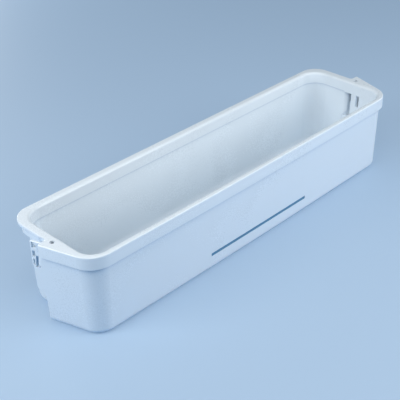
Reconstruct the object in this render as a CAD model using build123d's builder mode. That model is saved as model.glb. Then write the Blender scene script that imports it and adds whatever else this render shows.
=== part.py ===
"""Fridge door shelf: one moulding, a drafted trough with a lipped rim and a hollow hanging wing at each end."""
import os
from math import cos, hypot, radians, tan

from build123d import *

# Overall sizes. X runs along the shelf, -Y is the side that faces the room, Z = 0 is the underside.
ear_span = 437.4  # across the outer corners of the two ears
depth = 107.8  # front of the lip to back of the lip
height = 84.0

# Rim, seen from above
end_narrowing = 16.3  # how far each end draws in from the ear to the front corner
ear_step = 9.5  # how far each ear stands out from the rim behind it
front_crown = 1.6  # outward bow of the front
front_radius = 23.0
back_radius = 19.4
ear_back = 0.7  # Y of the ear's back edge
ear_radius = 1.5
ear_notch_radius = 2.5  # inner corner between the ear and the rim behind it
band = 12.3  # height of the rim's side, all round
front_lip = 2.9  # how far the band stands proud of the front wall and the wings
back_lip = 3.0  # thickness of the lip that tops the band behind the ears
back_overhang = 3.1  # how far that lip reaches out past the band
back_rim = 7.6  # width of the rim at the back
end_rim = 8.8  # width of the rim at the ends, behind the ears
top_web = 2.4  # thickness of the flanges
rim_outer_round = 1.2
rim_inner_round = 2.8

# Trough
wall = 3.0
floor = 2.5
draft_angle = 1.4
floor_round = 5.3  # outer edge of the underside
core_round = 4.5  # inner edge of the floor
core_front_radius = 15.5
core_back_radius = 18.0
panel_step = 1.2  # the wall behind the ears is thinner below the rim
panel_drop = 12.0  # rim to the top edge of that thinner wall
panel_front = 4.5  # Y of its front edge

# Wings
skin = 2.3
plate_back = 10.0  # Y of the back edge of the wing's plate
ear_drop = 1.5  # step down from the flange to the slope behind the ear
ear_fall = 5.3  # height that the slope loses on its way to the plate's back edge
pocket_tip = 1.6  # narrow end of the hollow
hem = 3.0  # inward return along the wing's lower edge
hem_z = 6.0
ledge_z = 29.0  # height of the ledge where it meets the foot
ledge_rise = 4.3  # the ledge climbs by this much to the back edge
ledge_round = 4.5
foot_back = 2.4  # Y of the plate's back edge below the ledge
foot_round = 2.0

# Rack of openings at the plate's back edge. It narrows downwards, and the window beside it leans alike.
rack_top = 82.7
rack_foot = 59.4
rack_flare = 0.8  # the back edge leans out by this much down to the rack's foot
rack_rail = 1.2
rack_top_width = 4.5
rack_foot_width = 1.2
rack_count = 3
rung = 2.6  # height of the bars between the openings
head_round = 0.9  # top edge of the left end's rack
window_top = 69.6
window_foot = 57.4
window_width = 4.6
window_front = 1.3  # Y of its front edge at the top
window_lean = 1.7

# Slots in the trough's end walls, under the flanges
slot_drop = 13.0  # rim to the slots' top edge
hook_slot_width = 11.4
hook_slot_height = 28.0
hook_web_drop = 12.5  # the slot's lower part, from here down, is closed behind
hook_web = 1.5
hook_web_gap = 2.6  # end wall to that closing web
return_radius = 5.9
post_width = 7.4
post_round = 2.9
key_slot_width = 2.6
key_slot_height = 13.0

# Screw holes in the flanges
hole_diameter = 4.6
hole_inset = 11.2  # ear's outer corner to the hole
hole_setback = 6.8  # ear's back edge to the hole

# Coloured line on the front wall
line_length = 136.0
line_height = 3.2
line_z = 16.6
line_offset = 2.0  # the line sits a little right of the middle
line_depth = 0.4

over = 1.0  # overrun of every cut past the face that it opens
ear_half = ear_span / 2
front_corner_half = ear_half - end_narrowing
back_half = ear_half - ear_step
front_mid = -depth / 2
front_end = front_mid + front_crown
back = depth / 2
taper = end_narrowing / (ear_back - front_end)
slope = tan(radians(draft_angle))
core_half = back_half - end_rim
trough_half = core_half + wall
core_back = back - back_rim
plate_top = height - ear_drop - ear_fall
rack_back = plate_back + rack_flare
blank_back = rack_back + height * slope  # the wing before its back edge is trimmed


def wing_x(y, inset):
    """Half length at depth y of the line that runs inset inside the rim's tapered end."""
    return ear_half - (ear_back - y) * taper - inset * hypot(1, taper)


def hollow_tip(inset):
    """Depth at which the hollow inside that line is only as wide as its narrow end."""
    return ear_back - (wing_x(ear_back, inset) - trough_half - pocket_tip) / taper


def crowned_outline(right_side, crown_y, front_r, back_r):
    """Closed outline with a bowed front, from the points of its right side, front to back."""
    left_side = [(-x, y) for x, y in reversed(right_side)]
    with BuildSketch() as outline:
        with BuildLine():
            ThreePointArc(left_side[-1], (0, crown_y), right_side[0])
            Polyline(*right_side, *left_side)
        make_face()
        fillet(outline.vertices().group_by(Axis.Y)[0], front_r)
        fillet(outline.vertices().group_by(Axis.Y)[-1], back_r)
    return outline.sketch


def drawn_down(outline, drop):
    """Solid under an outline at z = 0, narrowing downwards by the mould's draft."""
    with BuildPart() as form:
        with BuildSketch():
            add(mirror(outline, about=Plane.XZ, mode=Mode.PRIVATE))
        extrude(amount=drop, taper=draft_angle)
    return Rot(180, 0, 0) * form.part


sharp_rim = crowned_outline(
    [
        (front_corner_half, front_end),
        (ear_half, ear_back),
        (back_half, ear_back),
        (back_half, back),
    ],
    front_mid,
    front_radius,
    back_radius,
)
with BuildSketch() as rim_plan:
    add(sharp_rim)
    fillet(rim_plan.vertices().group_by(Axis.X)[0] + rim_plan.vertices().group_by(Axis.X)[-1], ear_radius)
    for notch in ((back_half, ear_back), (-back_half, ear_back)):
        fillet(rim_plan.vertices().sort_by_distance(notch)[0], ear_notch_radius)
rim_outline = rim_plan.sketch

wall_front = front_end + front_lip
wall_outline = crowned_outline(
    [
        (wing_x(wall_front, front_lip), wall_front),
        (wing_x(blank_back, front_lip), blank_back),
        (trough_half, blank_back),
        (trough_half, core_back + wall),
    ],
    front_mid + front_lip,
    front_radius - front_lip,
    core_back_radius + wall,
)

core_front = front_lip + wall
core_outline = crowned_outline(
    [(core_half, front_end + core_front), (core_half, core_back)],
    front_mid + core_front,
    core_front_radius,
    core_back_radius,
)

panel_inset = panel_drop * slope - panel_step
panel_start = panel_front - height * slope
with BuildSketch() as panel_outline:
    with Locations((0, panel_start)):
        Rectangle(
            2 * (core_half - panel_inset),
            core_back - panel_inset - panel_start,
            align=(Align.CENTER, Align.MIN),
        )
    fillet(panel_outline.vertices().group_by(Axis.Y)[-1], core_back_radius + panel_step)

# Drafted block of the trough and the wings, with its rounded foot
with BuildPart() as block:
    with Locations((0, 0, height)):
        add(drawn_down(wall_outline, height))
    foot_edges = block.faces().sort_by(Axis.Z)[0].edges()
    fillet(foot_edges.filter_by(Axis.X, reverse=True) + foot_edges.sort_by(Axis.Y)[-1:], floor_round)

# Space inside the trough, with its rounded floor
with BuildPart() as trough_space:
    add(drawn_down(core_outline, height - floor))
    fillet(trough_space.faces().sort_by(Axis.Z)[0].edges(), core_round)

# Deeper space beside the thinner wall, down to the same floor
with BuildPart() as panel_space:
    add(drawn_down(panel_outline.sketch, height - panel_drop - floor))
    fillet(panel_space.faces().sort_by(Axis.Z)[0].edges(), core_round)

# Hollow of the wings. Every level follows the drafted end wall, so the hollow leans with it.
lean = Vector(-slope, 0, -1).normalized()


def hollow_slice(z, inset):
    """Plan of the right wing's hollow at height z, inset from the rim's edge and open behind."""
    shift = (z - height) * slope
    inner_x = trough_half + shift
    tip_y = hollow_tip(inset)
    end_y = blank_back + over
    with BuildSketch(Plane.XY.offset(z)) as plan:
        with BuildLine():
            Polyline(
                (inner_x, tip_y),
                (inner_x + pocket_tip, tip_y),
                (wing_x(end_y, inset) + shift, end_y),
                (inner_x, end_y),
                close=True,
            )
        make_face()
    return plan.sketch


def leaning(drop):
    """Length along the leaning end wall that falls by drop."""
    return drop / cos(radians(draft_angle))


def over_slope(z, inner_x):
    """Space outside inner_x and above the slope that falls away behind the right ear from height z."""
    end_y = blank_back + 2 * over
    fall = ear_fall * (end_y - ear_back) / (plate_back - ear_back)
    with BuildPart() as space:
        with BuildSketch(Plane.YZ.offset(inner_x)):
            with BuildLine():
                Polyline(
                    (ear_back, z),
                    (end_y, z - fall),
                    (end_y, height + over),
                    (ear_back, height + over),
                    close=True,
                )
            make_face()
        extrude(amount=ear_half)
    return space.part


skin_inset = front_lip + skin
flange_under = height - top_web
slope_under = height - ear_drop - top_web
with BuildPart() as wing_hollow:
    extrude(hollow_slice(flange_under, skin_inset), amount=leaning(flange_under - hem_z), dir=lean)
    extrude(hollow_slice(hem_z, skin_inset + hem), amount=leaning(hem_z + over), dir=lean)
    add(over_slope(slope_under, core_half), mode=Mode.SUBTRACT)
    mirror(about=Plane.YZ)

# What is cleared away above the slopes
with BuildPart() as ear_clearing:
    add(over_slope(height - ear_drop, trough_half))
    mirror(about=Plane.YZ)

# Openings of the rack, seen from the end
rung_pitch = (rack_top - rack_foot + rung) / rack_count
with BuildSketch() as rack_openings:
    rack_edge = plate_back - rack_rail
    with BuildLine():
        Polyline(
            (rack_edge, rack_top),
            (rack_edge - rack_top_width, rack_top),
            (rack_edge + rack_flare - rack_foot_width, rack_foot),
            (rack_edge + rack_flare, rack_foot),
            close=True,
        )
    make_face()
    with Locations((plate_back, (rack_top + rack_foot) / 2)):
        with GridLocations(0, rung_pitch, 1, rack_count - 1):
            Rectangle(4 * rack_top_width, rung, mode=Mode.SUBTRACT)

# What is cut out of the wing's plate: its stepped back edge, the lower openings of the rack and the window
plate_inside = trough_half + pocket_tip
skin_inside = wing_x(ear_back, skin_inset) - height * slope
foot_front = foot_back - foot_round - over
with BuildPart() as plate_cuts:
    with BuildSketch(Plane.YZ.offset(plate_inside)):
        with Locations((foot_front, -over)):
            Rectangle(blank_back - foot_front + over, height + 2 * over, align=(Align.MIN, Align.MIN))
        with BuildSketch(mode=Mode.SUBTRACT) as kept:
            with BuildLine():
                Polyline(
                    (foot_front, 0),
                    (foot_back, 0),
                    (foot_back, ledge_z),
                    (plate_back, ledge_z + ledge_rise),
                    (plate_back, rack_foot - rung),
                    (rack_back, rack_foot),
                    (plate_back, height + over),
                    (foot_front, height + over),
                    close=True,
                )
            make_face()
            fillet(kept.vertices().sort_by_distance((foot_back, 0))[0], foot_round)
            fillet(kept.vertices().sort_by_distance((plate_back, ledge_z + ledge_rise))[0], ledge_round)
    extrude(amount=ear_half)
    with BuildSketch(Plane.YZ.offset(skin_inside)):
        add(rack_openings.sketch)
        with Locations((plate_back, rack_top - rung_pitch)):
            Rectangle(4 * rack_top_width, height, align=(Align.CENTER, Align.MIN), mode=Mode.SUBTRACT)
        with BuildLine():
            Polyline(
                (window_front, window_top),
                (window_front + window_width, window_top),
                (window_front + window_width + window_lean, window_foot),
                (window_front + window_lean, window_foot),
                close=True,
            )
        make_face()
    extrude(amount=ear_half)
    mirror(about=Plane.YZ)

# Head of the rack, which only the left end has: the plate goes on up to the rim there, with the top opening
with BuildPart() as right_head:
    add(block.part)
    with Locations((plate_inside, ear_back - over, plate_top - over)):
        Box(ear_half, depth, height, align=(Align.MIN, Align.MIN, Align.MIN), mode=Mode.INTERSECT)
    drop = height + 2 * over - plate_top
    extrude(hollow_slice(height + over, skin_inset), amount=leaning(drop), dir=lean, mode=Mode.SUBTRACT)
    add(plate_cuts.part, mode=Mode.SUBTRACT)
    fillet(right_head.faces().sort_by(Axis.Z)[-1].edges().sort_by(Axis.Y)[1:], head_round)
with BuildPart() as head_opening:
    with BuildSketch(Plane.YZ.offset(-skin_inside)):
        add(rack_openings.sketch)
        with Locations((plate_back, rack_top - rung_pitch)):
            Rectangle(4 * rack_top_width, height, align=(Align.CENTER, Align.MAX), mode=Mode.SUBTRACT)
    extrude(amount=-ear_half)

# Slots through the end walls: the hook's slot behind, the narrow one in front of the rounded post
slot_z = height - slot_drop
slot_lean = -slot_drop * slope
face_x = core_half + slot_lean
post_back = panel_front - hook_slot_width
post_front = post_back - post_width
with BuildPart() as end_slots:
    with BuildSketch(Plane.XY.offset(slot_z)):
        with Locations((face_x - wall, post_back)):
            Rectangle(2 * wall + over, hook_slot_width, align=(Align.MIN, Align.MIN))
    extrude(amount=leaning(hook_slot_height), dir=lean)
    with BuildSketch(Plane.XY.offset(slot_z)):
        with BuildLine():
            Line((face_x - wall, post_front + post_round), (face_x, post_front + post_round))
            RadiusArc((face_x, post_front + post_round), (face_x + post_round, post_front), -post_round)
            Polyline(
                (face_x + post_round, post_front),
                (face_x + wall + over, post_front),
                (face_x + wall + over, post_front - key_slot_width),
                (face_x - wall, post_front - key_slot_width),
                (face_x - wall, post_front + post_round),
            )
        make_face()
    extrude(amount=leaning(key_slot_height), dir=lean)
    mirror(about=Plane.YZ)

# Rounded return that carries the thin end wall outwards to the wing's skin behind the hook's slot,
# and the web that closes the slot's lower part
return_wall = wall - panel_step
return_y = panel_front - return_radius
with BuildPart() as slot_returns:
    with BuildSketch(Plane.XY.offset(slot_z + over)):
        with BuildLine():
            return_x = trough_half + slot_lean - return_wall / 2
            FilletPolyline(
                (return_x, panel_front + over),
                (return_x, return_y),
                (wing_x(return_y, skin_inset) + slot_lean + skin / 2, return_y),
                radius=return_radius,
            )
        trace(line_width=return_wall)
    extrude(amount=leaning(hook_slot_height + 2 * over), dir=lean)
    with BuildSketch(Plane.XY.offset(slot_z - hook_web_drop)):
        with Locations((trough_half + slot_lean + hook_web_gap, return_y)):
            Rectangle(hook_web, return_y - post_back + wall, align=(Align.MIN, Align.MAX))
    extrude(amount=leaning(hook_slot_height - hook_web_drop + over), dir=lean)
    mirror(about=Plane.YZ)

with BuildPart() as shelf:
    # Block, with the band in front of the ears' back edges, then the wings hollowed out
    add(block.part)
    with BuildSketch(Plane.XY.offset(height)):
        add(rim_outline)
        with Locations((0, ear_back)):
            Rectangle(ear_span, depth, align=(Align.CENTER, Align.MIN), mode=Mode.SUBTRACT)
    extrude(amount=-band)
    add(wing_hollow.part, mode=Mode.SUBTRACT)
    add(ear_clearing.part, mode=Mode.SUBTRACT)
    add(plate_cuts.part, mode=Mode.SUBTRACT)

    # Band and lip behind the ears
    with BuildSketch(Plane.XY.offset(height)):
        add(rim_outline)
        offset(amount=-back_overhang, mode=Mode.REPLACE)
        with Locations((0, ear_back)):
            Rectangle(ear_span, depth, align=(Align.CENTER, Align.MIN), mode=Mode.INTERSECT)
    extrude(amount=-band)
    with BuildSketch(Plane.XY.offset(height)):
        add(rim_outline)
        with Locations((0, ear_back)):
            Rectangle(ear_span, depth, align=(Align.CENTER, Align.MIN), mode=Mode.INTERSECT)
    extrude(amount=-back_lip)

    # Trough and its end walls
    with Locations((0, 0, height)):
        add(trough_space.part, mode=Mode.SUBTRACT)
    with Locations((0, 0, height - panel_drop)):
        add(panel_space.part, mode=Mode.SUBTRACT)
    add(end_slots.part, mode=Mode.SUBTRACT)
    add(slot_returns.part)

    # Rounded edges of the rim, and the head of the rack beside it
    rim_top = shelf.faces().sort_by(Axis.Z)[-1]
    inner_edges = rim_top.inner_wires()[0].edges()
    fillet(rim_top.outer_wire().edges(), rim_outer_round)
    fillet(shelf.edges().filter_by(lambda edge: any(edge.is_same(one) for one in inner_edges)), rim_inner_round)
    add(mirror(right_head.part, about=Plane.YZ, mode=Mode.PRIVATE))
    add(head_opening.part, mode=Mode.SUBTRACT)

    # Screw holes and the recess of the coloured line
    with Locations((0, ear_back - hole_setback, height)):
        with GridLocations(ear_span - 2 * hole_inset, 0, 2, 1):
            Hole(hole_diameter / 2, depth=top_web + over)
    line_floor = front_mid + front_lip + (height - line_z) * slope + line_depth
    with BuildSketch(Plane.XZ.offset(-line_floor)):
        with Locations((line_offset, line_z)):
            Rectangle(line_length, line_height)
    extrude(amount=line_depth + over, mode=Mode.SUBTRACT)

shelf.part.label = "door_shelf"
os.makedirs("parts", exist_ok=True)
export_step(shelf.part, "parts/door_shelf.step")
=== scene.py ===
"""Looks of the fridge door shelf: satin white plastic with a grey-blue line, on a pale studio floor."""
import math

import bpy
from mathutils import Matrix, Vector

MM = 0.001

# Camera at the photo's viewing angle, aimed through the middle of a square picture
CAMERA_PLACE = Vector((-542.6, -518.8, 499.9)) * MM
CAMERA_AZIMUTH = math.radians(-44.63)
CAMERA_ELEVATION = math.radians(32.30)
CAMERA_ROLL = math.radians(-1.70)
CAMERA_LENS = 80.45
SENSOR_WIDTH = 36.0

# Coloured line that fills the recess in the front wall
LINE_COLOUR = (0.085, 0.24, 0.395, 1)
LINE_MIDDLE = Vector((2.0, 0, 16.6)) * MM
LINE_HALF_LENGTH = 68.0 * MM
LINE_HALF_HEIGHT = 1.6 * MM
LINE_OUTSIDE_Y = -47.8 * MM  # only what lies in front of this is coloured
LINE_EDGE = 0.15 * MM

# Plastic: slow clouds from the flow of the moulding, and a fine satin grain
PLASTIC = (0.775, 0.855, 0.92, 1)
PLASTIC_DEEP = (0.765, 0.847, 0.915, 1)
PLASTIC_IOR = 1.5
FLOW_SCALE = 9.0
GRAIN_SCALE = 900.0
NOISE_DETAIL = 2.0
ROUGHNESS = 0.24
FLOW_ROUGHNESS = 0.05
GRAIN_ROUGHNESS = 0.02
GRAIN_BUMP = 0.01
GRAIN_DEPTH = 0.2 * MM

# Painted shade: a darker colour in shallow creases, under the band and along the ledges, where a wall
# is less open than CREASE_OPENNESS
CREASE_SHADE_COLOUR = (0.55, 0.65, 0.76, 1)
CREASE_REACH = 7.0 * MM
CREASE_SAMPLES = 16
CREASE_OPENNESS = 0.9
CREASE_FADE = 0.06
HOLLOW_OPENNESS = 0.65  # hollows that are less open than this are dark enough by themselves
HOLLOW_FADE = 0.1
CREASE_FOOT = 40.0 * MM  # the roundings below this height keep the plain tone
CREASE_FOOT_FADE = 10.0 * MM

# Floor and backdrop as they are seen, and the light that they give to the shelf
FLOOR = (0.26, 0.34, 0.43, 1)
FLOOR_GLOW = (0.15, 0.22, 0.31, 1)
FLOOR_BOUNCE = (0.13, 0.34, 0.60, 1)
FLOOR_ROUGHNESS = 0.6
FLOOR_HALF = 4.0
FLOOR_LEVEL = -0.2 * MM  # just clear of the shelf's underside
BACKDROP = (0.175, 0.255, 0.36, 1)
ROOM_LIGHT = (0.091, 0.106, 0.12, 1)
NO_GLOW = (0, 0, 0, 1)

# Soft boxes, each with its place and size in metres and its power in watts
BOX_TARGET = Vector((0, 0, 0.05))
SOFT_BOXES = {
    "left_box": (Vector((-0.8, 0.2, 0.53)), 0.5, 5.15),
    "front_box": (Vector((0.25, -0.68, 0.46)), 0.5, 3.65),
    "right_box": (Vector((1.7, -0.9, 0.45)), 0.7, 7.1),
    "top_box": (Vector((-0.25, -0.25, 0.87)), 0.5, 2.2),
    "rear_box": (Vector((0.2, 1.1, 0.2)), 0.4, 2.2),
}


class Socket:
    """Output of a shader node that can be calculated with; with no output, the start of a node tree."""

    def __init__(self, tree, output=None):
        self.tree = tree
        self.output = output

    def node(self, kind, settings=None, **inputs):
        """A new node of the tree, with its settings and its sockets' values or links."""
        made = self.tree.nodes.new(kind)
        for name, value in (settings or {}).items():
            setattr(made, name, value)
        for name, value in inputs.items():
            key = int(name[1:]) if name[1:].isdigit() else name.replace("_", " ")
            if isinstance(value, Socket):
                self.tree.links.new(value.output, made.inputs[key])
            else:
                made.inputs[key].default_value = value
        return made

    def out(self, made, name):
        """The named output of a node of this tree."""
        return Socket(self.tree, made.outputs[name])

    def math(self, operation, *values):
        inputs = {f"_{index}": value for index, value in enumerate(values)}
        return self.out(self.node("ShaderNodeMath", {"operation": operation}, **inputs), 0)

    def __add__(self, other):
        return self.math("ADD", self, other)

    __radd__ = __add__

    def __sub__(self, other):
        return self.math("SUBTRACT", self, other)

    def __rsub__(self, other):
        return self.math("SUBTRACT", other, self)

    def __mul__(self, other):
        return self.math("MULTIPLY", self, other)

    __rmul__ = __mul__

    def __abs__(self):
        return self.math("ABSOLUTE", self)

    def below(self, limit, fade):
        """1 where the value is under the limit, falling to 0 from one fade before it to one past it."""
        made = self.node(
            "ShaderNodeMapRange",
            {"interpolation_type": "SMOOTHSTEP"},
            Value=self,
            From_Min=limit - fade,
            From_Max=limit + fade,
            To_Min=1.0,
            To_Max=0.0,
        )
        return self.out(made, "Result")

    def mix(self, first, second):
        """Colour between first, where this is 0, and second, where it is 1."""
        made = self.node("ShaderNodeMix", {"data_type": "RGBA"}, _0=self, _6=first, _7=second)
        return self.out(made, 2)

    def feed(self, shader, name):
        """Link this to a socket of a shader."""
        self.tree.links.new(self.output, shader.inputs[name])


def new_material(name):
    """A material, its shader and the start of its node tree."""
    made = bpy.data.materials.new(name)
    made.use_nodes = True
    return made, made.node_tree.nodes["Principled BSDF"], Socket(made.node_tree)


def noise(place, scale):
    made = place.node("ShaderNodeTexNoise", Vector=place, Scale=scale, Detail=NOISE_DETAIL)
    return place.out(made, "Fac")


def coloured_line(x, y, z):
    """1 on the coloured line, 0 elsewhere."""
    along = abs(x - LINE_MIDDLE.x).below(LINE_HALF_LENGTH, LINE_EDGE)
    across = abs(z - LINE_MIDDLE.z).below(LINE_HALF_HEIGHT, LINE_EDGE)
    return along * across * y.below(LINE_OUTSIDE_Y, LINE_EDGE)


def painted_crease_shade(z):
    """Painted shade mask: 1 under the band and along the ledges, 0 on open walls, in deep hollows and
    near the foot.
    """
    # occlusion decides where the painted shade falls
    nook = z.node("ShaderNodeAmbientOcclusion", {"samples": CREASE_SAMPLES}, Distance=CREASE_REACH)
    openness = z.out(nook, "AO")
    crease = openness.below(CREASE_OPENNESS, CREASE_FADE) - openness.below(HOLLOW_OPENNESS, HOLLOW_FADE)
    return crease * (1.0 - z.below(CREASE_FOOT, CREASE_FOOT_FADE))


def moulded_plastic():
    made, shader, tree = new_material("moulded_white_plastic")
    place = tree.out(tree.node("ShaderNodeTexCoord"), "Object")
    parts = tree.node("ShaderNodeSeparateXYZ", Vector=place)
    x, y, z = (tree.out(parts, axis) for axis in "XYZ")
    flow = noise(place, FLOW_SCALE)
    grain = noise(place, GRAIN_SCALE)

    # painted shade: the plastic's colour darkens toward the crease shade colour in shallow creases
    body = painted_crease_shade(z).mix(flow.mix(PLASTIC, PLASTIC_DEEP), CREASE_SHADE_COLOUR)
    coloured_line(x, y, z).mix(body, LINE_COLOUR).feed(shader, "Base Color")
    (ROUGHNESS + FLOW_ROUGHNESS * flow + GRAIN_ROUGHNESS * grain).feed(shader, "Roughness")
    bump = tree.node("ShaderNodeBump", Strength=GRAIN_BUMP, Distance=GRAIN_DEPTH, Height=grain)
    tree.out(bump, "Normal").feed(shader, "Normal")
    shader.inputs["IOR"].default_value = PLASTIC_IOR
    return made


def seen_directly(tree):
    """1 where a surface is looked at or mirrored, 0 where it only lights the others."""
    rays = tree.node("ShaderNodeLightPath")
    seen = tree.out(rays, "Is Camera Ray")
    for kind in ("Is Glossy Ray", "Is Transmission Ray"):
        seen = tree.math("MAXIMUM", seen, tree.out(rays, kind))
    return seen


def pale_floor():
    """Pale with an even glow where it is seen, and deeper blue in the light that it throws back."""
    made, shader, tree = new_material("pale_floor")
    seen = seen_directly(tree)
    seen.mix(FLOOR_BOUNCE, FLOOR).feed(shader, "Base Color")
    seen.mix(NO_GLOW, FLOOR_GLOW).feed(shader, "Emission Color")
    shader.inputs["Emission Strength"].default_value = 1.0
    shader.inputs["Roughness"].default_value = FLOOR_ROUGHNESS
    return made


def add_object(name, data):
    made = bpy.data.objects.new(name, data)
    bpy.context.scene.collection.objects.link(made)
    return made


def add_floor():
    sides = [(-1, -1), (1, -1), (1, 1), (-1, 1)]
    corners = [(FLOOR_HALF * x, FLOOR_HALF * y, FLOOR_LEVEL) for x, y in sides]
    mesh = bpy.data.meshes.new("floor")
    mesh.from_pydata(corners, [], [(0, 1, 2, 3)])
    mesh.materials.append(pale_floor())
    floor = add_object("floor", mesh)


def add_room():
    """A world that looks like the floor's far side and gives a little even light."""
    world = bpy.data.worlds.new("studio")
    world.use_nodes = True
    seen = seen_directly(Socket(world.node_tree))
    seen.mix(ROOM_LIGHT, BACKDROP).feed(world.node_tree.nodes["Background"], "Color")
    bpy.context.scene.world = world


def add_soft_box(name, place, size, power):
    """A square area lamp that looks at the shelf and isn't seen itself."""
    data = bpy.data.lights.new(name, "AREA")
    data.shape = "SQUARE"
    data.size = size
    data.energy = power
    made = add_object(name, data)
    made.visible_camera = False
    made.location = place
    made.rotation_euler = (BOX_TARGET - place).to_track_quat("-Z", "Y").to_euler()


def add_camera():
    level = math.cos(CAMERA_ELEVATION)
    back = Vector((
        math.sin(CAMERA_AZIMUTH) * level,
        -math.cos(CAMERA_AZIMUTH) * level,
        math.sin(CAMERA_ELEVATION),
    ))
    right = Vector((0, 0, 1)).cross(back).normalized()
    up = back.cross(right)
    rolled_right = math.cos(CAMERA_ROLL) * right + math.sin(CAMERA_ROLL) * up
    rolled_up = math.cos(CAMERA_ROLL) * up - math.sin(CAMERA_ROLL) * right
    data = bpy.data.cameras.new("camera")
    data.sensor_fit = "HORIZONTAL"
    data.sensor_width = SENSOR_WIDTH
    data.lens = CAMERA_LENS
    made = add_object("camera", data)
    turn = Matrix((rolled_right, rolled_up, back)).transposed().to_4x4()
    made.matrix_world = Matrix.Translation(CAMERA_PLACE) @ turn
    bpy.context.scene.camera = made


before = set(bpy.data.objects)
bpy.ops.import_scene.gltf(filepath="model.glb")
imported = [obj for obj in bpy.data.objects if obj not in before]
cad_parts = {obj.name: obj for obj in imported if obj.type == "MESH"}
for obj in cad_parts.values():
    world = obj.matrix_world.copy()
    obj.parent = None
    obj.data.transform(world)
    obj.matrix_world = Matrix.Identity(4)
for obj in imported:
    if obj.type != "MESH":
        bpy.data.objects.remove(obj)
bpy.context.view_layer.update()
bpy.context.scene.view_settings.view_transform = "Standard"

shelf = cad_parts["door_shelf"]
shelf.data.materials.clear()
shelf.data.materials.append(moulded_plastic())

add_floor()
add_room()
for name, (place, size, power) in SOFT_BOXES.items():
    add_soft_box(name, place, size, power)
add_camera()
